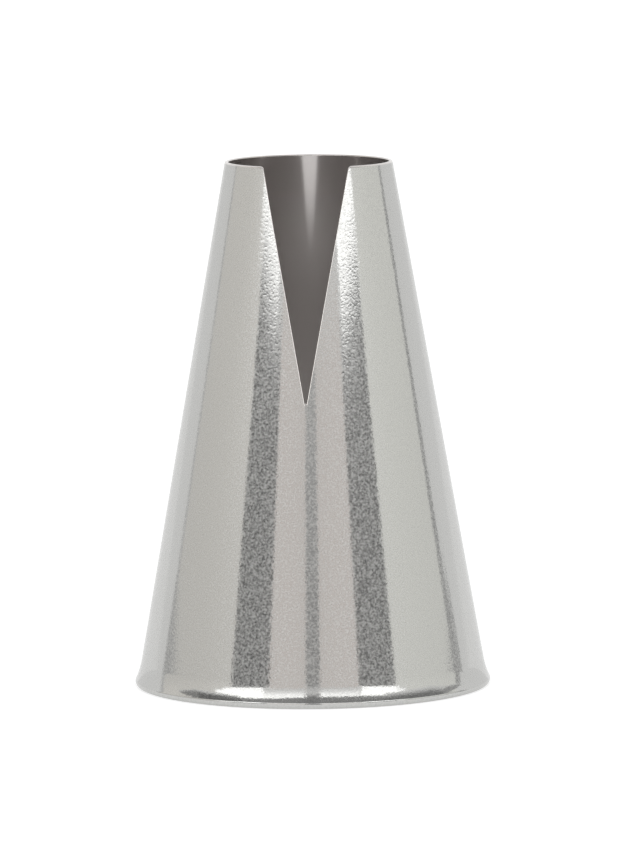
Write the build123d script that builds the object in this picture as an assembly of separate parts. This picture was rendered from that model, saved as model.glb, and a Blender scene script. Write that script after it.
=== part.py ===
from build123d import *
import math
import os

# Piping nozzle: a cone of thin stainless sheet, open at both ends, with a V notch cut
# down from the tip and a beaded edge round the base. Millimetres, +Z up.
# The origin is the centre of the base, on the surface that the nozzle stands on.
# The notch faces -Y, and the welded seam runs down the back, at +Y.

# Overall sizes, measured outside
nozzle_height = 50.0
tip_diameter = 15.9
base_diameter = 33.85

# Sheet
sheet_thickness = 0.35
lip_round_share = 0.4

# Base: the wall flares out, then folds under in a bead to a narrow flat foot, and its
# edge turns up inside. The slope says how far up from straight out the outer face looks
# where the flare ends, in degrees.
flare_radius = 7.2
flare_slope = 25.0
bead_inside_radius = 0.09
foot_width = 0.5
edge_turn_up = 60.0

# V notch in the front wall
notch_width = 8.0
notch_depth = 22.4
notch_root_radius = 0.12
notch_corner_radius = 0.35

# Welded seam down the back
seam_width = 0.6

# How far a cutting shape runs past what it cuts
overrun = 2.0

# Worked out from the sizes above
tip_radius = tip_diameter / 2
base_radius = base_diameter / 2
bead_radius = bead_inside_radius + sheet_thickness
quarter_turn = 90.0


def direction(angle):
    """Unit vector in the section plane, `angle` degrees up from straight out."""
    return Vector(math.cos(math.radians(angle)), math.sin(math.radians(angle)))


# Section plane: first number outward from the axis, second number up.
# The bead's circle touches the base diameter and the floor, and the flare's circle
# touches the bead's. The cone's line runs from the tip to touch the flare's circle,
# which sets how steep the cone is.
bead_centre = Vector(base_radius - bead_radius, bead_radius)
flare_centre = bead_centre + direction(flare_slope) * (bead_radius + flare_radius)
tip_corner = Vector(tip_radius, nozzle_height)
tip_to_flare = flare_centre - tip_corner
lean_to_centre = math.degrees(math.atan2(tip_to_flare.X, -tip_to_flare.Y))
lean_of_tangent = math.degrees(math.asin(flare_radius / tip_to_flare.length))
cone_half_angle = lean_to_centre - lean_of_tangent


def sheet_face_line(depth):
    """One face of the sheet in section, from the tip to the turned-up edge.

    depth is 0 for the outer face and the sheet's thickness for the inner one.
    """
    level = math.cos(math.radians(cone_half_angle))
    tip = Vector(tip_radius - depth / level, nozzle_height)
    flare_start = flare_centre - direction(cone_half_angle) * (flare_radius + depth)
    cone = Line(tip, flare_start)
    flare = JernArc(cone @ 1, cone % 1, flare_radius + depth, flare_slope - cone_half_angle)
    bead = JernArc(flare @ 1, flare % 1, bead_radius - depth, -flare_slope - quarter_turn)
    foot = Line(bead @ 1, bead @ 1 - Vector(foot_width, 0))
    edge = JernArc(foot @ 1, foot % 1, bead_radius - depth, -edge_turn_up)
    return [cone, flare, bead, foot, edge]


def sheet_section():
    """The sheet in section, with both corners of the tip's lip rounded."""
    outer = sheet_face_line(0)
    inner = sheet_face_line(sheet_thickness)
    lip = Line(inner[0] @ 0, outer[0] @ 0)
    sheet_edge = Line(outer[-1] @ 1, inner[-1] @ 1)
    section = make_face(outer + inner + [lip, sheet_edge])
    lip_corners = section.vertices().sort_by(Axis.Y)[-2:]
    return fillet(lip_corners, lip_round_share * sheet_thickness)


def closed_cone(section_plane):
    """The sheet as a full cone with no seam or notch, turned from a section plane."""
    return revolve(section_plane * sheet_section(), Axis.Z)


def seam_slab():
    """A slab over the back wall, as wide as the weld."""
    slab_height = nozzle_height + 2 * overrun
    slab_length = base_radius + overrun
    centre = Pos(0, slab_length / 2, nozzle_height / 2)
    return centre * Box(seam_width, slab_length, slab_height)


def notch_cutter():
    """The V through the front wall, with a rounded root and rounded top corners."""
    above = nozzle_height + overrun
    spread = notch_width / 2 / notch_depth
    root = nozzle_height - notch_depth
    half_width_above = (above - root) * spread
    vee = make_face(Polyline(
        (0, root),
        (half_width_above, above),
        (-half_width_above, above),
        close=True,
    ))
    wall = Pos(0, nozzle_height / 2) * Rectangle(base_diameter, nozzle_height)
    window = wall - vee
    tip_middle = (0, nozzle_height)
    corners = window.vertices().group_by(Axis.Y)[-1].sort_by_distance(tip_middle)[:2]
    window = fillet(corners, notch_corner_radius)
    root_corner = window.vertices().sort_by_distance((0, root))[0]
    window = fillet(root_corner, notch_root_radius)
    tall_wall = Pos(0, above / 2) * Rectangle(base_diameter, above)
    return extrude(Plane.XZ * (tall_wall - window), base_radius)


def cone_shell():
    """The formed sheet: notched in front, with the gap for the weld behind."""
    return closed_cone(Plane.YZ) - seam_slab() - notch_cutter()


def seam_weld():
    """The weld that fills the gap, flush with the sheet on both faces."""
    return closed_cone(Plane.XZ) & seam_slab()


os.makedirs("parts", exist_ok=True)
export_step(cone_shell(), "parts/cone_shell.step")
export_step(seam_weld(), "parts/seam_weld.step")
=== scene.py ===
"""Looks of the piping nozzle: its two pieces, their finishes, the studio and the camera.

Lengths are in metres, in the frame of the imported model: +Z up, the origin in the
centre of the base, the notch towards -Y and the weld at +Y.
"""

import logging
import math
from collections.abc import Mapping
from dataclasses import dataclass, field
from enum import Enum, IntEnum

import bpy
import numpy as np
from mathutils import Matrix, Vector


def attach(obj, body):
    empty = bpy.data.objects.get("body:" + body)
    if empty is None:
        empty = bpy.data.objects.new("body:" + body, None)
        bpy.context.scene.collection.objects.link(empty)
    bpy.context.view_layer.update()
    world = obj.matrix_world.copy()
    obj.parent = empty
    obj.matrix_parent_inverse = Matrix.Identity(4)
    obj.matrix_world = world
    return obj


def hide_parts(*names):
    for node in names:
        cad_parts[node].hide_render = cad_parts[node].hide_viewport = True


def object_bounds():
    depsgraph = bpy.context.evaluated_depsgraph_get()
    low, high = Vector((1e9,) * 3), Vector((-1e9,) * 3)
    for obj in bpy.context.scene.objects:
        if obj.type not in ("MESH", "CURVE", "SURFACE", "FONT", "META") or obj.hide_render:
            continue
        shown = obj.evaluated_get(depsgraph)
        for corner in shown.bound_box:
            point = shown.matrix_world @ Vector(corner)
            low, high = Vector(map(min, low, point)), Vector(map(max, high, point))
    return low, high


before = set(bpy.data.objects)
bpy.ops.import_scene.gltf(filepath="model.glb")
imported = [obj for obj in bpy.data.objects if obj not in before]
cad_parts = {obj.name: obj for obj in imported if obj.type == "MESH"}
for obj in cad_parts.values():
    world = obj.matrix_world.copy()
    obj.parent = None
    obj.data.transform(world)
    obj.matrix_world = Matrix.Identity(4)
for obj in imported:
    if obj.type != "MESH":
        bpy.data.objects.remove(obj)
CAD_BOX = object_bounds()

MM = 0.001
QUARTER = math.pi / 2
BODY = "root"
LOG = logging.getLogger("piping_nozzle")


def linear_colour(hex_code: str) -> tuple[float, float, float, float]:
    """Turn an sRGB hex colour into the linear colour that a shader takes.

    Args:
        hex_code: Six hex digits after a hash.

    Returns:
        Linear red, green, blue and an alpha of 1.
    """
    parts = [int(hex_code[start:start + 2], 16) / 255 for start in (1, 3, 5)]
    red, green, blue = (
        part / 12.92 if part <= 0.04045 else ((part + 0.055) / 1.055) ** 2.4
        for part in parts
    )
    return (red, green, blue, 1.0)


def add_node(
    tree: bpy.types.NodeTree,
    kind: str,
    settings: Mapping[str, object] | None = None,
    inputs: Mapping[str | int, object] | None = None,
) -> bpy.types.Node:
    """Add one node with its settings, its values and its links.

    Args:
        tree: The node tree that gets the node.
        kind: The node's type, such as ShaderNodeBump.
        settings: Properties of the node itself, by name.
        inputs: For each socket, by name or place, a value or the output to link to it.

    Returns:
        The new node.
    """
    node = tree.nodes.new(kind)
    for name, value in (settings or {}).items():
        setattr(node, name, value)
    for place, value in (inputs or {}).items():
        if isinstance(value, bpy.types.NodeSocket):
            tree.links.new(value, node.inputs[place])
        else:
            node.inputs[place].default_value = value
    return node


def new_material(name: str) -> tuple[bpy.types.Material, bpy.types.NodeTree]:
    """Make an empty node material.

    Args:
        name: Name of the material.

    Returns:
        The material and its node tree, with no nodes in it.
    """
    material = bpy.data.materials.new(name)
    material.use_nodes = True
    material.node_tree.nodes.clear()
    return material, material.node_tree


def add_object(name: str, data: bpy.types.ID) -> bpy.types.Object:
    """Make an object and link it to the scene.

    Args:
        name: Name of the object.
        data: Its mesh or its camera.

    Returns:
        The new object.
    """
    thing = bpy.data.objects.new(name, data)
    bpy.context.scene.collection.objects.link(thing)
    return thing


def unit(vectors: np.ndarray) -> np.ndarray:
    """Scale vectors, held along the last axis, to length 1."""
    return vectors / np.linalg.norm(vectors, axis=-1, keepdims=True)


def ray(turn: float) -> np.ndarray:
    """Unit vector in a plane, `turn` radians up from its first axis."""
    return np.array([math.cos(turn), math.sin(turn)])


def eased(share: np.ndarray) -> np.ndarray:
    """Smooth step from 0 to 1."""
    share = np.clip(share, 0.0, 1.0)
    return share * share * (3 - 2 * share)


@dataclass(frozen=True)
class Stations:
    """Points along the outer face of the sheet in section.

    Attributes:
        radius: Distance of each point from the axis.
        height: Height of each point.
        slope: How far up from straight out the face looks there, in radians.
    """

    radius: np.ndarray
    height: np.ndarray
    slope: np.ndarray


@dataclass(frozen=True)
class SheetSection:
    """Section of the sheet: cone, flare, bead, foot and turned-up edge.

    Attributes:
        height: Height of the nozzle.
        base_radius: Greatest radius, which the bead reaches.
        tip_radius: Radius of the outer face at the tip.
        thickness: Thickness of the sheet.
        flare_radius: Radius of the arc in which the cone turns outward.
        flare_slope: How far up from straight out the face looks where the flare ends.
        bead_radius: Outer radius of the fold round the base.
        foot_width: Width of the flat ring that the nozzle stands on.
        edge_slope: The way the outer face looks at the turned-up edge.
        turn_step: Largest turn between two stations of an arc.
        fewest_steps: Fewest steps in an arc.
    """

    height: float
    base_radius: float
    tip_radius: float = 7.95 * MM
    thickness: float = 0.35 * MM
    flare_radius: float = 7.2 * MM
    flare_slope: float = math.radians(25)
    bead_radius: float = 0.44 * MM
    foot_width: float = 0.5 * MM
    edge_slope: float = math.radians(-150)
    turn_step: float = math.radians(2.5)
    fewest_steps: int = 12

    def centres(self) -> dict[str, np.ndarray]:
        """Find the centres of the section's arcs, from the bead upwards.

        Returns:
            The centre of each arc as radius and height, by the arc's name.
        """
        bead = np.array([self.base_radius - self.bead_radius, self.bead_radius])
        flare = bead + ray(self.flare_slope) * (self.bead_radius + self.flare_radius)
        edge = bead - np.array([self.foot_width, 0.0])
        return {"flare": flare, "bead": bead, "edge": edge}

    @property
    def cone_slope(self) -> float:
        """How far the cone leans in: its line runs from the tip to touch the flare.

        Returns:
            The angle between the cone's line and the axis, in radians.
        """
        run = self.centres()["flare"] - np.array([self.tip_radius, self.height])
        to_centre = math.atan2(run[0], -run[1])
        return to_centre - math.asin(self.flare_radius / np.linalg.norm(run))

    def base_path(self) -> Stations:
        """Lay out the outer face from the end of the cone to the turned-up edge.

        Returns:
            The stations of the flare, the bead, the foot and the edge.
        """
        arcs = [
            ("flare", -self.flare_radius, self.cone_slope, self.flare_slope),
            ("bead", self.bead_radius, self.flare_slope, -QUARTER),
            ("edge", self.bead_radius, -QUARTER, self.edge_slope),
        ]
        centres = self.centres()
        points, slopes = [], []
        for name, radius, start, end in arcs:
            count = max(self.fewest_steps, math.ceil(abs(end - start) / self.turn_step))
            joined = name == "bead"
            for slope in np.linspace(start, end, count + 1)[joined:]:
                points.append(centres[name] + ray(slope) * radius)
                slopes.append(slope)
        path = np.array(points)
        return Stations(path[:, 0], path[:, 1], np.array(slopes))

    def wall_radius(self, height: np.ndarray, depth: float) -> np.ndarray:
        """Find the radius of the cone at a height.

        Args:
            height: One height or more.
            depth: How far below the outer face, square to it.

        Returns:
            The radius at each height.
        """
        at_tip = self.tip_radius - depth / math.cos(self.cone_slope)
        return at_tip + (self.height - height) * math.tan(self.cone_slope)


@dataclass(frozen=True)
class FreeEdge:
    """The sheet's free edge at the top, with one entry for each column of the mesh.

    Attributes:
        height: Height of the edge.
        outside: Angle from the front at the outer face, in radians.
        inside: Angle from the front at the inner face.
        seam_share: 0 where a column runs straight up the cone, 1 along the seam.
        seam_place: How far a column along the seam lies from the middle of the back.
        facing: The way the cut looks, as X and Z.
        slant: Sine of the angle between the column and the edge.
        rounding: How far the edge's rounding reaches over each face.
    """

    height: np.ndarray
    outside: np.ndarray
    inside: np.ndarray
    seam_share: np.ndarray
    seam_place: np.ndarray
    facing: np.ndarray
    slant: np.ndarray
    rounding: np.ndarray


@dataclass(frozen=True)
class Notch:
    """V cut down the front wall, straight through along Y.

    Attributes:
        width: Width at the tip, between the two sides drawn out to it.
        depth: Depth from the tip to where the two sides meet.
        root_radius: Radius of the V's root.
        corner_radius: Radius of the two corners where the V meets the tip.
        root_steps: Steps of the mesh round half the root.
        side_steps: Steps down one side.
        corner_steps: Steps round one corner.
    """

    width: float = 8.0 * MM
    depth: float = 22.4 * MM
    root_radius: float = 0.12 * MM
    corner_radius: float = 0.35 * MM
    root_steps: int = 8
    side_steps: int = 60
    corner_steps: int = 10

    def outline(self, top: float) -> tuple[np.ndarray, np.ndarray]:
        """Trace the right half of the V, from its root to the end of its top corner.

        Args:
            top: Height of the tip.

        Returns:
            Points as X and Z, and the way the cut looks at each, as X and Z.
        """
        lean = math.atan2(self.width / 2, self.depth)
        low = top - self.depth
        root = np.array([0.0, low + self.root_radius / math.sin(lean)])
        corner_height = top - self.corner_radius
        corner_place = self.corner_radius + (corner_height - low) * math.sin(lean)
        corner = np.array([corner_place / math.cos(lean), corner_height])
        root_rays = [ray(turn) for turn in np.linspace(-QUARTER, -lean, self.root_steps + 1)]
        corner_rays = [
            ray(turn) for turn in np.linspace(math.pi - lean, QUARTER, self.corner_steps + 1)
        ]
        start = root + self.root_radius * root_rays[-1]
        end = corner + self.corner_radius * corner_rays[0]
        shares = np.linspace(0.0, 1.0, self.side_steps + 1)[1:-1]
        points = (
            [root + self.root_radius * out for out in root_rays]
            + [start + (end - start) * share for share in shares]
            + [corner + self.corner_radius * out for out in corner_rays]
        )
        facings = (
            [-out for out in root_rays]
            + [corner_rays[0]] * len(shares)
            + corner_rays
        )
        return np.array(points), np.array(facings)


class Side(IntEnum):
    """Sides of the sheet, in the order of the mesh's material slots."""

    OUTSIDE = 0
    INSIDE = 1
    EDGE = 2


@dataclass
class SheetMesh:
    """Sweeps the sheet's section through the columns of a free edge, as one closed mesh.

    Attributes:
        section: The sheet's section.
        edge: The free edge that the columns start from.
        mirrored: Whether the columns are the right half, with its first one in the middle.
        wall_rows: Rows of faces up the cone.
        rounding_steps: Steps round each corner of the free edge.
    """

    section: SheetSection
    edge: FreeEdge
    mirrored: bool = False
    wall_rows: int = 20
    rounding_steps: int = 6

    def true_angle(self, radius: np.ndarray, angle: np.ndarray) -> np.ndarray:
        """Find the angle of each column at a radius: as given, or true to the seam.

        Args:
            radius: Radii, by column and station.
            angle: Angles from the front that the columns in front of the seam keep.

        Returns:
            Angles from the front.
        """
        share = self.edge.seam_share[:, None]
        to_seam = QUARTER - np.arcsin(self.edge.seam_place[:, None] / radius)
        return np.where(share > 0, QUARTER + share * to_seam, angle)

    def swept(
        self,
        radius: np.ndarray,
        height: np.ndarray,
        slope: np.ndarray | float,
        angle: np.ndarray,
    ) -> tuple[np.ndarray, np.ndarray]:
        """Carry stations of the section to every column.

        Args:
            radius: Radii, by column and station.
            height: Heights.
            slope: How far up the outer face looks, in radians.
            angle: Angles from the front.

        Returns:
            Points, and the way the outer face looks at each.
        """
        turned = self.true_angle(radius, angle)
        radius, height, slope, turned = np.broadcast_arrays(radius, height, slope, turned)
        across, along = np.sin(turned), -np.cos(turned)
        points = np.stack([radius * across, radius * along, height], axis=-1)
        level = np.cos(slope)
        return points, np.stack([level * across, level * along, np.sin(slope)], axis=-1)

    def face(self, depth: float) -> tuple[np.ndarray, np.ndarray, np.ndarray]:
        """Lay out one face of the sheet, from its rounding down to the turned-up edge.

        Args:
            depth: 0 for the outer face, the sheet's thickness for the inner one.

        Returns:
            The sharp corner at the top of each column, the face's points, and the way
            the face looks at each.
        """
        section, edge = self.section, self.edge
        lean = section.cone_slope
        angle = (edge.inside if depth else edge.outside)[:, None]
        base = section.base_path()
        base_radius = (base.radius - depth * np.cos(base.slope))[None, :]
        base_height = (base.height - depth * np.sin(base.slope))[None, :]
        top = edge.height[:, None]
        corner, _ = self.swept(section.wall_radius(top, depth), top, lean, angle)
        start = top - (edge.rounding / edge.slant)[:, None] * math.cos(lean)
        shares = np.linspace(0.0, 1.0, self.wall_rows + 1)[None, :-1]
        height = start + (base_height[:, :1] - start) * shares
        wall, wall_facing = self.swept(section.wall_radius(height, depth), height, lean, angle)
        middle = (edge.outside + edge.inside)[:, None] / 2
        run = eased(np.linspace(0.0, 1.0, base.radius.size))[None, :]
        base_angle = angle + (middle - angle) * run
        foot, foot_facing = self.swept(base_radius, base_height, base.slope, base_angle)
        points = np.concatenate([wall, foot], axis=1)
        facings = np.concatenate([wall_facing, foot_facing], axis=1)
        return corner[:, 0], points, -facings if depth else facings

    def rounded(
        self,
        corner: np.ndarray,
        on_face: np.ndarray,
        on_cut: np.ndarray,
        face_facing: np.ndarray,
        cut_facing: np.ndarray,
    ) -> tuple[np.ndarray, np.ndarray]:
        """Round one corner of the sheet between a face and the cut.

        Args:
            corner: The sharp corner of each column.
            on_face: Where the rounding meets the face.
            on_cut: Where it meets the cut.
            face_facing: The way the face looks there.
            cut_facing: The way the cut looks.

        Returns:
            Points from the cut to just before the face, and the way each looks.
        """
        turns = np.linspace(QUARTER, 0.0, self.rounding_steps + 1)[None, :-1, None]
        sine, cosine = np.sin(turns), np.cos(turns)
        points = (
            corner[:, None]
            + (1 - sine) * (on_face - corner)[:, None]
            + (1 - cosine) * (on_cut - corner)[:, None]
        )
        facings = cosine * face_facing[:, None] + sine * cut_facing[:, None]
        return points, unit(facings)

    def loops(self) -> tuple[np.ndarray, np.ndarray, list[Side]]:
        """Close the section round every column.

        Returns:
            Points by column and place in the loop, the way the surface looks at each,
            and the side of the sheet that starts at each place.
        """
        corner_out, outer, outer_facing = self.face(0.0)
        corner_in, inner, inner_facing = self.face(self.section.thickness)
        level = np.zeros(len(corner_out))
        cut = np.stack([self.edge.facing[:, 0], level, self.edge.facing[:, 1]], axis=-1)
        across = unit(corner_in - corner_out) * self.edge.rounding[:, None]
        top_out, top_out_facing = self.rounded(
            corner_out, outer[:, 0], corner_out + across, outer_facing[:, 0], cut
        )
        top_in, top_in_facing = self.rounded(
            corner_in, inner[:, 0], corner_in - across, inner_facing[:, 0], cut
        )
        points = np.concatenate([top_out, outer, inner[:, ::-1], top_in[:, ::-1]], axis=1)
        facings = np.concatenate(
            [top_out_facing, outer_facing, inner_facing[:, ::-1], top_in_facing[:, ::-1]], axis=1
        )
        rounds, stations = top_out.shape[1], outer.shape[1]
        sides = (
            [Side.EDGE] * rounds
            + [Side.OUTSIDE] * (stations - 1)
            + [Side.EDGE]
            + [Side.INSIDE] * (stations - 1)
            + [Side.EDGE] * (rounds + 1)
        )
        if self.mirrored:
            other_way = np.array([-1.0, 1.0, 1.0])
            points = np.concatenate([points[:0:-1] * other_way, points])
            facings = np.concatenate([facings[:0:-1] * other_way, facings])
        return points, facings, sides

    def build(self, name: str) -> bpy.types.Object:
        """Make the closed mesh, with the section's own facings as its normals.

        Args:
            name: Name of the object.

        Returns:
            The new object, linked to the scene.
        """
        points, facings, sides = self.loops()
        columns, places = points.shape[:2]
        number = np.arange(columns * places).reshape(columns, places)
        after = np.roll(number, -1, axis=1)
        walls = np.stack([number[:-1], after[:-1], after[1:], number[1:]], axis=-1)
        walls = walls.reshape(-1, 4)
        half = places // 2
        near, far = number[:, :half], number[:, :half - 1:-1]
        caps = np.stack([near[:, :-1], near[:, 1:], far[:, 1:], far[:, :-1]], axis=-1)
        first_cap, last_cap = caps[0][:, ::-1], caps[-1]
        to_right = np.array([1.0, 0.0, 0.0])
        corner_facings = np.concatenate([
            facings.reshape(-1, 3)[walls].reshape(-1, 3),
            np.tile(to_right, (first_cap.size, 1)),
            np.tile(-to_right, (last_cap.size, 1)),
        ])
        faces = np.concatenate([walls, first_cap, last_cap])
        slots = [int(side) for side in sides] * (columns - 1)
        slots += [int(Side.EDGE)] * (len(faces) - len(slots))
        mesh = bpy.data.meshes.new(name)
        mesh.from_pydata(points.reshape(-1, 3).tolist(), [], faces.tolist())
        mesh.polygons.foreach_set("material_index", slots)
        mesh.polygons.foreach_set("use_smooth", [True] * len(faces))
        mesh.update()
        mesh.normals_split_custom_set(corner_facings.tolist())
        return add_object(name, mesh)


@dataclass(frozen=True)
class TumbledSteel:
    """Stainless steel sheet, deep drawn and then tumbled: the outside of the cone.

    Tumbling polishes the ground and leaves it full of fine matt pits. The ground
    mirrors the room with crisp borders. The pits scatter light from all round, so they
    show as bright specks in dark reflections and vanish in bright ones. Rolling the
    rim irons most of them out there. Faint rings are left from the drawing.

    Attributes:
        edge_tint: Brightness of the reflection at a grazing angle.
        pit_size: Distance from pit to pit.
        pit_noise_low: Level of the noise where the ground is at its clearest.
        pit_noise_high: Level of the noise in the middle of a pit.
        pit_share_low: Share of matt steel in the clear ground.
        pit_share_high: Share of matt steel in a pit.
        rim_low: Height below which the rim is ironed out.
        rim_high: Height above which it has all its pits.
        rim_pit_share: How much of the pits is left in the rim.
    """

    name: str = "stainless_steel_tumbled"
    colour: str = "#C0C0BE"
    edge_tint: float = 0.85
    ground_roughness: float = 0.07
    pit_roughness: float = 0.36
    pit_size: float = 0.22 * MM
    pit_detail: float = 1.0
    pit_noise_low: float = 0.3
    pit_noise_high: float = 0.7
    pit_share_low: float = 0.1
    pit_share_high: float = 0.62
    pit_depth: float = 0.004 * MM
    rim_low: float = 0.7 * MM
    rim_high: float = 1.8 * MM
    rim_pit_share: float = 0.35
    ring_pitch: float = 1.4 * MM
    ring_detail: float = 3.0
    ring_depth: float = 0.0012 * MM

    def lobe(
        self,
        tree: bpy.types.NodeTree,
        roughness: float,
        normal: bpy.types.NodeSocket,
    ) -> bpy.types.NodeSocket:
        """Add the steel at one roughness.

        Args:
            tree: The material's node tree.
            roughness: How rough it is.
            normal: The output that gives the surface's normal.

        Returns:
            The output that gives the shader.
        """
        shader = add_node(tree, "ShaderNodeBsdfPrincipled", None, {
            "Base Color": linear_colour(self.colour),
            "Metallic": 1.0,
            "Roughness": roughness,
            "Specular Tint": (self.edge_tint, self.edge_tint, self.edge_tint, 1.0),
            "Normal": normal,
        })
        return shader.outputs["BSDF"]

    def material(self) -> bpy.types.Material:
        """Build the material.

        Returns:
            The finished material.
        """
        material, tree = new_material(self.name)
        place = add_node(tree, "ShaderNodeTexCoord").outputs["Object"]
        pits = add_node(tree, "ShaderNodeTexNoise", {"noise_dimensions": "3D"}, {
            "Vector": place,
            "Scale": 1 / self.pit_size,
            "Detail": self.pit_detail,
        })
        share = add_node(tree, "ShaderNodeMapRange", None, {
            "Value": pits.outputs["Fac"],
            "From Min": self.pit_noise_low,
            "From Max": self.pit_noise_high,
            "To Min": self.pit_share_low,
            "To Max": self.pit_share_high,
        })
        split = add_node(tree, "ShaderNodeSeparateXYZ", None, {"Vector": place})
        left_over = add_node(tree, "ShaderNodeMapRange", None, {
            "Value": split.outputs["Z"],
            "From Min": self.rim_low,
            "From Max": self.rim_high,
            "To Min": self.rim_pit_share,
            "To Max": 1.0,
        })
        pitted = add_node(tree, "ShaderNodeMath", {"operation": "MULTIPLY"}, {
            0: share.outputs["Result"],
            1: left_over.outputs["Result"],
        })
        rings = add_node(tree, "ShaderNodeTexNoise", {"noise_dimensions": "1D"}, {
            "W": split.outputs["Z"],
            "Scale": 1 / self.ring_pitch,
            "Detail": self.ring_detail,
        })
        ring_bump = add_node(tree, "ShaderNodeBump", None, {
            "Height": rings.outputs["Fac"],
            "Distance": self.ring_depth,
        })
        bump = add_node(tree, "ShaderNodeBump", None, {
            "Height": pits.outputs["Fac"],
            "Distance": self.pit_depth,
            "Normal": ring_bump.outputs["Normal"],
        })
        normal = bump.outputs["Normal"]
        steel = add_node(tree, "ShaderNodeMixShader", None, {
            0: pitted.outputs[0],
            1: self.lobe(tree, self.ground_roughness, normal),
            2: self.lobe(tree, self.pit_roughness, normal),
        })
        add_node(tree, "ShaderNodeOutputMaterial", None, {"Surface": steel.outputs["Shader"]})
        return material


@dataclass(frozen=True)
class DrawnSteel:
    """Stainless steel as it leaves the forming tool: the inside of the cone.

    Tumbling reaches in at the mouth alone. Further down the face stays dull, with the
    forming tool's fine rings across it, and its reflections fade away.

    Attributes:
        polish_low: Height where the polish from the mouth ends.
        polish_high: Height above which it is full.
        mouth_share: Share of polished steel at the mouth.
    """

    name: str = "stainless_steel_drawn"
    colour: str = "#C4C0BE"
    mouth_roughness: float = 0.12
    deep_roughness: float = 0.42
    polish_low: float = 39.5 * MM
    polish_high: float = 49.5 * MM
    mouth_share: float = 0.7
    ring_pitch: float = 0.6 * MM
    ring_detail: float = 3.0
    ring_depth: float = 0.004 * MM

    def material(self) -> bpy.types.Material:
        """Build the material.

        Returns:
            The finished material.
        """
        material, tree = new_material(self.name)
        place = add_node(tree, "ShaderNodeTexCoord").outputs["Object"]
        split = add_node(tree, "ShaderNodeSeparateXYZ", None, {"Vector": place})
        rings = add_node(tree, "ShaderNodeTexNoise", {"noise_dimensions": "1D"}, {
            "W": split.outputs["Z"],
            "Scale": 1 / self.ring_pitch,
            "Detail": self.ring_detail,
        })
        bump = add_node(tree, "ShaderNodeBump", None, {
            "Height": rings.outputs["Fac"],
            "Distance": self.ring_depth,
        })
        polish = add_node(tree, "ShaderNodeMapRange", {"interpolation_type": "SMOOTHSTEP"}, {
            "Value": split.outputs["Z"],
            "From Min": self.polish_low,
            "From Max": self.polish_high,
            "To Max": self.mouth_share,
        })
        lobes = [
            add_node(tree, "ShaderNodeBsdfPrincipled", None, {
                "Base Color": linear_colour(self.colour),
                "Metallic": 1.0,
                "Roughness": roughness,
                "Normal": bump.outputs["Normal"],
            })
            for roughness in (self.deep_roughness, self.mouth_roughness)
        ]
        steel = add_node(tree, "ShaderNodeMixShader", None, {
            0: polish.outputs["Result"],
            1: lobes[0].outputs["BSDF"],
            2: lobes[1].outputs["BSDF"],
        })
        add_node(tree, "ShaderNodeOutputMaterial", None, {"Surface": steel.outputs["Shader"]})
        return material


@dataclass(frozen=True)
class BurnishedEdgePaintedHighlight:
    """Sheared stainless steel edge, rounded by tumbling: the lip and the notch's sides.

    The burnished rounding is smoother than the faces and catches a thin bright line. Its colour is
    lighter than the faces' steel: a painted highlight that brightens that line.
    """

    name: str = "stainless_steel_edge_painted_highlight"
    # Lighter than the faces' steel: a painted highlight along the rounded edges.
    colour: str = "#D2CECB"
    roughness: float = 0.16

    def material(self) -> bpy.types.Material:
        """Build the material.

        Returns:
            The finished material.
        """
        material, tree = new_material(self.name)
        shader = add_node(tree, "ShaderNodeBsdfPrincipled", None, {
            "Base Color": linear_colour(self.colour),
            "Metallic": 1.0,
            "Roughness": self.roughness,
        })
        add_node(tree, "ShaderNodeOutputMaterial", None, {"Surface": shader.outputs["BSDF"]})
        return material


@dataclass(frozen=True)
class DressedWeld:
    """Stainless steel weld, ground and brushed flush along its length.

    The belt leaves fine scratches along the seam. They spread reflections sideways, so
    the weld reads as a soft satin stripe between the brighter sheet on either side.
    The scratches are drawn about twice as far apart as real ones, so that they show.

    Attributes:
        scratch_pitch: Distance between scratches.
        scratch_length: Length of a scratch, up the wall.
        roughness_swing: How much rougher and smoother than the mean the scratches are.
    """

    name: str = "stainless_weld_dressed"
    colour: str = "#BAB8B4"
    roughness: float = 0.26
    scratch_pitch: float = 0.06 * MM
    scratch_length: float = 4.0 * MM
    scratch_detail: float = 2.0
    scratch_depth: float = 0.003 * MM
    roughness_swing: float = 0.08

    def material(self) -> bpy.types.Material:
        """Build the material.

        Returns:
            The finished material.
        """
        material, tree = new_material(self.name)
        place = add_node(tree, "ShaderNodeTexCoord").outputs["Object"]
        across, along = 1 / self.scratch_pitch, 1 / self.scratch_length
        stretched = add_node(tree, "ShaderNodeMapping", None, {
            "Vector": place,
            "Scale": (across, across, along),
        })
        scratches = add_node(tree, "ShaderNodeTexNoise", {"noise_dimensions": "3D"}, {
            "Vector": stretched.outputs["Vector"],
            "Scale": 1.0,
            "Detail": self.scratch_detail,
        })
        roughness = add_node(tree, "ShaderNodeMapRange", None, {
            "Value": scratches.outputs["Fac"],
            "To Min": self.roughness - self.roughness_swing,
            "To Max": self.roughness + self.roughness_swing,
        })
        bump = add_node(tree, "ShaderNodeBump", None, {
            "Height": scratches.outputs["Fac"],
            "Distance": self.scratch_depth,
        })
        shader = add_node(tree, "ShaderNodeBsdfPrincipled", None, {
            "Base Color": linear_colour(self.colour),
            "Metallic": 1.0,
            "Roughness": roughness.outputs["Result"],
            "Normal": bump.outputs["Normal"],
        })
        add_node(tree, "ShaderNodeOutputMaterial", None, {"Surface": shader.outputs["BSDF"]})
        return material


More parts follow.
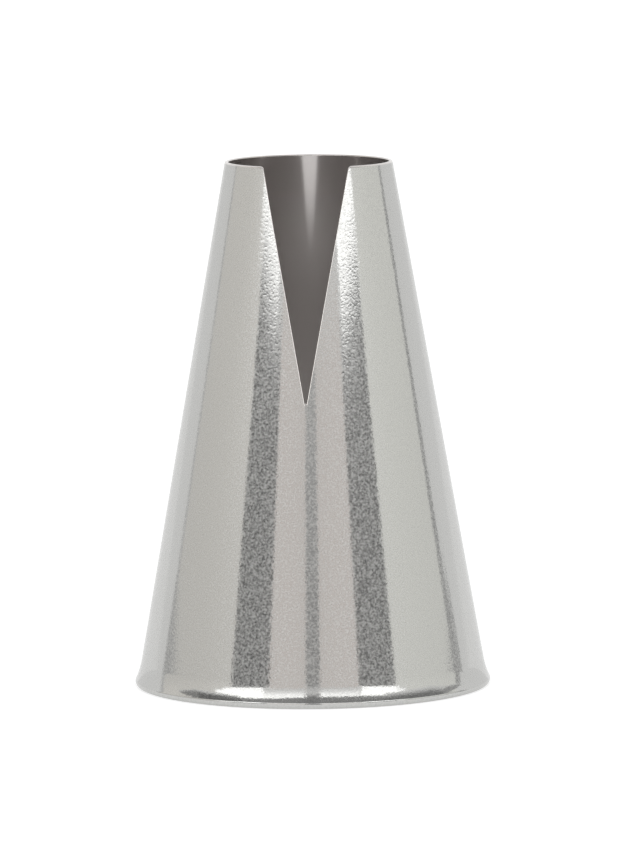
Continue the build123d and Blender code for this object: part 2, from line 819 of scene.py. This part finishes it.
@dataclass
class ConeShell:
    """The formed sheet: a cone with a notch in front and a gap for the weld behind.

    Attributes:
        section: The sheet's section.
        notch: The V in the front wall.
        seam_width: Width of the gap behind.
        lip_rounding: Rounding of the corners round the tip.
        notch_rounding: Rounding of the corners down the notch, which are sharper.
        lip_blend: Turn in which the straight cut at the notch becomes square to the lip.
        turn_step: Turn between two columns of the mesh, away from the notch.
    """

    section: SheetSection
    notch: Notch = field(default_factory=Notch)
    seam_width: float = 0.6 * MM
    lip_rounding: float = 0.14 * MM
    notch_rounding: float = 0.09 * MM
    lip_blend: float = math.radians(25)
    turn_step: float = math.radians(1.5)

    def slants(self, place: np.ndarray, facing: np.ndarray, radius: np.ndarray) -> np.ndarray:
        """Sine of the angle between the notch's edge and the columns that end on it.

        Args:
            place: X of each point of the edge.
            facing: The way the cut looks there, as X and Z.
            radius: Radius of the outer face there.

        Returns:
            One sine for each point.
        """
        lean = self.section.cone_slope
        along = np.stack([facing[:, 1], -facing[:, 0]], axis=-1)
        back = np.sqrt(radius ** 2 - place ** 2)
        into = (radius * math.tan(lean) * along[:, 1] + place * along[:, 0]) / back
        edge = unit(np.stack([along[:, 0], into, along[:, 1]], axis=-1))
        across, level = place / radius, back / radius
        down = np.stack([
            math.sin(lean) * across,
            -math.sin(lean) * level,
            np.full(len(place), -math.cos(lean)),
        ], axis=-1)
        return np.linalg.norm(np.cross(edge, down), axis=-1)

    def free_edge(self) -> FreeEdge:
        """Lay out the columns of the right half, from the notch's root to the seam.

        Returns:
            The free edge of the half cone.
        """
        section = self.section
        outline, facing = self.notch.outline(section.height)
        place, height = outline[:, 0], outline[:, 1]
        outer = section.wall_radius(height, 0.0)
        inner = section.wall_radius(height, section.thickness)
        outside, inside = np.arcsin(place / outer), np.arcsin(place / inner)
        lip_steps = round((QUARTER - outside[-1]) / self.turn_step)
        back_steps = round(QUARTER / self.turn_step)
        lip = np.linspace(outside[-1], QUARTER, lip_steps + 1)[1:]
        lead = (inside[-1] - outside[-1]) * (1 - eased((lip - outside[-1]) / self.lip_blend))
        back = np.linspace(0.0, 1.0, back_steps + 1)[1:]
        plain = lip_steps + back_steps
        above_corner = height - height.max() + self.notch.corner_radius
        top_share = eased(above_corner / self.notch.corner_radius)
        notch_round = self.notch_rounding + (self.lip_rounding - self.notch_rounding) * top_share
        return FreeEdge(
            height=np.concatenate([height, np.full(plain, section.height)]),
            outside=np.concatenate([outside, lip, QUARTER * (1 + back)]),
            inside=np.concatenate([inside, lip + lead, QUARTER * (1 + back)]),
            seam_share=np.concatenate([np.zeros(len(place) + lip_steps), back]),
            seam_place=np.full(len(place) + plain, self.seam_width / 2),
            facing=np.concatenate([facing, np.tile([0.0, 1.0], (plain, 1))]),
            slant=np.concatenate([self.slants(place, facing, outer), np.ones(plain)]),
            rounding=np.concatenate([notch_round, np.full(plain, self.lip_rounding)]),
        )

    def build(self) -> bpy.types.Object:
        """Build the shell, dress it and put it in the place of its solid.

        Returns:
            The shell's object.
        """
        piece = SheetMesh(self.section, self.free_edge(), mirrored=True).build("cone_wall")
        # The edge finish has a lighter colour than the faces, a painted highlight along the lip
        # and the notch.
        for finish in (TumbledSteel(), DrawnSteel(), BurnishedEdgePaintedHighlight()):
            piece.data.materials.append(finish.material())
        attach(piece, BODY)
        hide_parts("cone_shell")
        return piece


@dataclass
class SeamWeld:
    """The weld that closes the cone down its back, dressed flush on both faces.

    Attributes:
        section: The sheet's section, which the weld shares.
        width: Width of the weld.
        lip_rounding: Rounding of the corners at the tip.
        columns: Columns of the mesh across the weld.
    """

    section: SheetSection
    width: float = 0.6 * MM
    lip_rounding: float = 0.14 * MM
    columns: int = 9

    def build(self) -> bpy.types.Object:
        """Build the weld, dress it and put it in the place of its solid.

        Returns:
            The weld's object.
        """
        place = np.linspace(self.width / 2, -self.width / 2, self.columns)
        angle = math.pi - place / self.section.tip_radius
        edge = FreeEdge(
            height=np.full(self.columns, self.section.height),
            outside=angle,
            inside=angle,
            seam_share=np.ones(self.columns),
            seam_place=place,
            facing=np.tile([0.0, 1.0], (self.columns, 1)),
            slant=np.ones(self.columns),
            rounding=np.full(self.columns, self.lip_rounding),
        )
        piece = SheetMesh(self.section, edge).build("back_weld")
        finishes = (
            DressedWeld(),
            DrawnSteel(name="stainless_weld_inside"),
            # The weld's edge finish has the lighter colour too, a painted highlight along the lip.
            BurnishedEdgePaintedHighlight(name="stainless_weld_edge_painted_highlight"),
        )
        for finish in finishes:
            piece.data.materials.append(finish.material())
        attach(piece, BODY)
        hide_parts("seam_weld")
        return piece


class Layer(Enum):
    """How far each layer of the light tent stands from the axis, from back to front."""

    WALL = 0.45
    FOOT = 0.449
    LAMP = 0.445
    JOIN = 0.444
    SLOT = 0.442
    CEILING = 0.441
    SLOT_CEILING = 0.4405
    SLOT_FOOT = 0.44


@dataclass(frozen=True)
class WallPanel:
    """One curved panel of the light tent, at a turn and a height round the nozzle.

    Attributes:
        name: Name of the panel.
        start: Turn from the camera of its first side, in degrees, positive to the right.
        end: Turn of its second side.
        low: Height of its lower edge.
        high: Height of its upper edge.
        light: How bright it is, where 1 is white.
        colour: Its colour.
        layer: The layer that it is in, where a nearer one hides a further one.
        fade: How far above its lower edge the light reaches its full level.
        low_light: How bright it is at its lower edge, where it fades.
        low_end: Height of its lower edge at its second side, where that edge slopes.
        high_end: Height of its upper edge there.
    """

    name: str
    start: float
    end: float
    low: float
    high: float
    light: float
    colour: str = "#FFFFFF"
    layer: Layer = Layer.WALL
    fade: float = 0.0
    low_light: float = 0.0
    low_end: float | None = None
    high_end: float | None = None

    def light_level(self, tree: bpy.types.NodeTree) -> float | bpy.types.NodeSocket:
        """Work out how bright the panel is from place to place.

        Args:
            tree: The panel's node tree.

        Returns:
            One level, or the output that gives it at each place.
        """
        if self.fade == 0:
            return self.light
        rise = add_node(tree, "ShaderNodeAttribute", {"attribute_name": "rise"})
        ramp = add_node(tree, "ShaderNodeMapRange", {"interpolation_type": "SMOOTHSTEP"}, {
            "Value": rise.outputs["Fac"],
            "From Max": self.fade,
            "To Min": self.low_light,
            "To Max": self.light,
        })
        return ramp.outputs["Result"]


@dataclass
class Studio:
    """Pale floor, white surroundings and the panels of a light tent.

    The panels show in the metal's reflections alone. The camera, the floor and the
    shadows don't see them, so that the nozzle can be looked at from any side.

    Attributes:
        camera_turn: Turn of the camera from the front, in degrees.
        panels: The panels of the light tent.
        panel_step: Largest turn between two edges of a panel's mesh, in degrees.
        floor_size: Length of the floor's side.
        floor_paper: Colour of the floor's paper.
        floor_fill: Light that lifts the paper to white, where 1 is white by itself.
    """

    camera_turn: float
    panels: tuple[WallPanel, ...]
    panel_step: float = 2.0
    floor_size: float = 8.0
    floor_paper: str = "#C0C0C0"
    floor_fill: float = 0.62

    def wall(self, panel: WallPanel) -> bpy.types.Object:
        """Build one panel as a bent sheet that gives light.

        Args:
            panel: Where the panel stands and how bright it is.

        Returns:
            The panel's object, marked as part of the stage.
        """
        steps = math.ceil((panel.end - panel.start) / self.panel_step)
        turns = np.radians(np.linspace(panel.start, panel.end, steps + 1) + self.camera_turn)
        ground = np.stack([np.sin(turns), -np.cos(turns)], axis=-1) * panel.layer.value
        count = len(ground)
        low_end = panel.low if panel.low_end is None else panel.low_end
        high_end = panel.high if panel.high_end is None else panel.high_end
        low = np.linspace(panel.low, low_end, count)
        high = np.linspace(panel.high, high_end, count)
        points = np.column_stack([np.tile(ground, (2, 1)), np.concatenate([low, high])])
        faces = [(spot, spot + 1, spot + 1 + count, spot + count) for spot in range(count - 1)]
        mesh = bpy.data.meshes.new(panel.name)
        mesh.from_pydata(points.tolist(), [], faces)
        rise = mesh.attributes.new("rise", "FLOAT", "POINT")
        rise.data.foreach_set("value", np.concatenate([np.zeros(count), high - low]))
        wall = add_object(panel.name, mesh)
        material, tree = new_material(panel.name)
        glow = add_node(tree, "ShaderNodeEmission", None, {
            "Color": linear_colour(panel.colour),
            "Strength": panel.light_level(tree),
        })
        add_node(tree, "ShaderNodeOutputMaterial", None, {"Surface": glow.outputs["Emission"]})
        mesh.materials.append(material)
        wall.visible_camera = False
        wall.visible_diffuse = False
        wall.visible_shadow = False
        wall.visible_transmission = False
        return wall

    def floor(self) -> bpy.types.Object:
        """Build the floor: matt white paper that reaches white and keeps the shadow.

        Returns:
            The floor's object, marked as part of the stage.
        """
        half = self.floor_size / 2
        mesh = bpy.data.meshes.new("studio_floor")
        corners = [(-half, -half, 0.0), (half, -half, 0.0), (half, half, 0.0), (-half, half, 0.0)]
        mesh.from_pydata(corners, [], [(0, 1, 2, 3)])
        floor = add_object("studio_floor", mesh)
        material, tree = new_material("matt_white_paper")
        rays = add_node(tree, "ShaderNodeLightPath")
        seen = rays.outputs["Is Camera Ray"]
        for kind in ("Is Glossy Ray", "Is Transmission Ray"):
            either = add_node(tree, "ShaderNodeMath", {"operation": "MAXIMUM"}, {
                0: seen,
                1: rays.outputs[kind],
            })
            seen = either.outputs[0]
        fill = add_node(tree, "ShaderNodeMath", {"operation": "MULTIPLY"}, {
            0: seen,
            1: self.floor_fill,
        })
        glow = add_node(tree, "ShaderNodeEmission", None, {"Strength": fill.outputs[0]})
        paper = add_node(tree, "ShaderNodeBsdfDiffuse", None, {
            "Color": linear_colour(self.floor_paper),
        })
        both = add_node(tree, "ShaderNodeAddShader", None, {
            0: glow.outputs["Emission"],
            1: paper.outputs["BSDF"],
        })
        add_node(tree, "ShaderNodeOutputMaterial", None, {"Surface": both.outputs["Shader"]})
        mesh.materials.append(material)
        return floor

    def surroundings(self) -> None:
        """Make the world plain white, at the level where a colour shows as it is written."""
        world = bpy.data.worlds.new("studio_white")
        world.use_nodes = True
        tree = world.node_tree
        tree.nodes.clear()
        white = add_node(tree, "ShaderNodeBackground", None, {
            "Color": linear_colour("#FFFFFF"),
            "Strength": 1.0,
        })
        add_node(tree, "ShaderNodeOutputWorld", None, {"Surface": white.outputs["Background"]})
        bpy.context.scene.world = world

    def build(self) -> None:
        """Set up the floor, the panels and the white surroundings."""
        self.surroundings()
        self.floor()
        for panel in self.panels:
            self.wall(panel)


@dataclass
class PhotoCamera:
    """The camera at the photograph's distance, height, turn and tilt.

    Attributes:
        target_height: Height of the point on the axis that the camera goes round.
        distance: Distance from that point.
        rise: How far up the camera stands, in radians.
        turn: How far it stands to the right of the notch.
        roll: How far it is turned about its own line of sight.
        aim_right: How far to the right of that point it looks.
        aim_up: How far above that point it looks.
        pixels_per_mm: Scale of the photograph at that point.
        image_height: Height of the photograph, in pixels.
        sensor: Width of the sensor, in millimetres.
        nearest: Nearest distance that it sees.
        furthest: Furthest distance that it sees.
    """

    target_height: float = 25.0 * MM
    distance: float = 740.0 * MM
    rise: float = math.radians(6.54)
    turn: float = math.radians(2.25)
    roll: float = 0.0081
    aim_right: float = 0.303 * MM
    aim_up: float = -0.583 * MM
    pixels_per_mm: float = 10.517
    image_height: int = 858
    sensor: float = 36.0
    nearest: float = 10 * MM
    furthest: float = 100.0

    def build(self) -> bpy.types.Object:
        """Make the camera and set it as the scene's own.

        Returns:
            The camera's object.
        """
        away = Vector((
            math.sin(self.turn) * math.cos(self.rise),
            -math.cos(self.turn) * math.cos(self.rise),
            math.sin(self.rise),
        ))
        target = Vector((0.0, 0.0, self.target_height))
        right = Vector((math.cos(self.turn), math.sin(self.turn), 0.0))
        up = away.cross(right)
        eye = target + away * self.distance
        aim = target + right * self.aim_right + up * self.aim_up
        data = bpy.data.cameras.new("photo_camera")
        data.sensor_width = self.sensor
        data.lens = self.pixels_per_mm / MM * self.distance * self.sensor / self.image_height
        data.clip_start = self.nearest
        data.clip_end = self.furthest
        camera = add_object("photo_camera", data)
        level = (aim - eye).to_track_quat("-Z", "Y").to_matrix().to_4x4()
        camera.matrix_world = Matrix.Translation(eye) @ level @ Matrix.Rotation(-self.roll, 4, "Z")
        bpy.context.scene.camera = camera
        return camera


# The tent's cloth gives the pale zones. Its gaps give the two broad dark bands, the slot
# in front the dark stripe in the middle, and the joins the thin upright lines.
CLOTH = (
    WallPanel("tent_front", -29, 30.5, 0.04, 0.75, 0.87, "#FFF7F3"),
    WallPanel("gap_left", -55.5, -29, 0.04, 0.137, 0.13),
    WallPanel("gap_right", 30.5, 56, 0.04, 0.135, 0.15),
    WallPanel("slot_low", -5, 5, 0.0, 0.08, 0.3, layer=Layer.SLOT_FOOT),
    WallPanel("slot_high", -4.6, 4.6, 0.08, 0.75, 0.8, layer=Layer.SLOT, fade=0.12, low_light=0.3),
    WallPanel("tent_left", -116, -55.5, 0.03, 0.75, 0.98, "#FCF9F4", fade=0.12, low_light=0.87),
    WallPanel("tent_right", 56, 110, 0.03, 0.75, 1.06, "#FFFFFA", fade=0.12, low_light=0.98),
    WallPanel("tent_join_left", -119, -116, 0.0, 0.75, 0.67),
    WallPanel("tent_join_right", 108.9, 113.9, 0.0, 0.115, 0.42, layer=Layer.JOIN),
)

# Lamps above the gaps give the white patches beside the notch and the white zone in the
# flare.
LAMPS = (
    WallPanel("lamp_left", -62, -34, 0.137, 0.75, 2.4, fade=0.008, low_light=0.4,
              layer=Layer.LAMP),
    WallPanel("lamp_right", 33, 59, 0.135, 0.75, 2.4, fade=0.008, low_light=0.4, layer=Layer.LAMP),
    WallPanel("lamp_side_left", -69, -62, 0.15, 0.75, 2.2, fade=0.02, low_light=0.9,
              layer=Layer.LAMP),
    WallPanel("lamp_side_right", 59, 65, 0.15, 0.75, 2.0, fade=0.03, low_light=0.98,
              layer=Layer.LAMP),
    WallPanel("top_left", -34, -5, 0.155, 0.75, 2.0, fade=0.11, low_light=0.87, layer=Layer.LAMP),
    WallPanel("top_right", 5, 32, 0.145, 0.75, 2.0, fade=0.11, low_light=0.87, layer=Layer.LAMP),
)

# The dark ceiling gives the dark strip above the bead and the wedges at its ends.
CEILING = (
    WallPanel("ceiling_tip_left", -101, -84, 0.145, 0.158, 0.28, layer=Layer.CEILING, fade=0.02,
              low_light=0.9, low_end=0.15, high_end=0.25),
    WallPanel("ceiling_left", -84, -52, 0.15, 0.75, 0.13, layer=Layer.CEILING, fade=0.04,
              low_light=0.95, low_end=0.235),
    WallPanel("ceiling_front_left", -52, -30, 0.257, 0.75, 0.25, layer=Layer.CEILING,
              fade=0.015, low_light=1.6, low_end=0.278),
    WallPanel("ceiling_front", -30, 15, 0.278, 0.75, 0.25, layer=Layer.CEILING, fade=0.015,
              low_light=1.6, low_end=0.258),
    WallPanel("ceiling_slot", -4.6, 4.6, 0.2, 0.75, 0.2, layer=Layer.SLOT_CEILING, fade=0.08,
              low_light=0.8),
    WallPanel("ceiling_front_right", 15, 50, 0.262, 0.75, 0.25, layer=Layer.CEILING, fade=0.015,
              low_light=1.6, low_end=0.24),
    WallPanel("ceiling_right", 50, 84, 0.22, 0.75, 0.2, layer=Layer.CEILING, fade=0.075,
              low_light=0.98, low_end=0.138),
    WallPanel("ceiling_tip_right", 84, 98, 0.138, 0.29, 0.22, layer=Layer.CEILING, fade=0.06,
              low_light=0.95, low_end=0.132, high_end=0.21),
    WallPanel("ceiling_end_right", 98, 113, 0.134, 0.21, 0.4, layer=Layer.CEILING, fade=0.015,
              low_light=0.9, low_end=0.097, high_end=0.118),
)

# The foot of the tent gives the thin bright line along the top of the bead.
FOOT = (
    WallPanel("foot_left", -118, -62, 0.0, 0.03, 0.5, layer=Layer.FOOT),
    WallPanel("foot_front_left", -62, -6, 0.0, 0.05, 1.2, layer=Layer.FOOT),
    WallPanel("foot_front_right", 6, 60, 0.0, 0.05, 1.3, layer=Layer.FOOT),
    WallPanel("foot_right", 60, 118, 0.0, 0.03, 0.5, layer=Layer.FOOT),
)


def main() -> None:
    """Build the nozzle's pieces, then the studio and the camera."""
    logging.basicConfig(level=logging.INFO, format="%(name)s: %(message)s")
    bpy.context.scene.view_settings.view_transform = "Standard"
    low, high = CAD_BOX
    section = SheetSection(height=high.z, base_radius=(high.x - low.x) / 2)
    for part in (ConeShell(section), SeamWeld(section)):
        piece = part.build()
        LOG.info("%s: %d faces", piece.name, len(piece.data.polygons))
    camera = PhotoCamera()
    camera.build()
    Studio(camera_turn=math.degrees(camera.turn), panels=CLOTH + LAMPS + CEILING + FOOT).build()


if __name__ == "__main__":
    main()
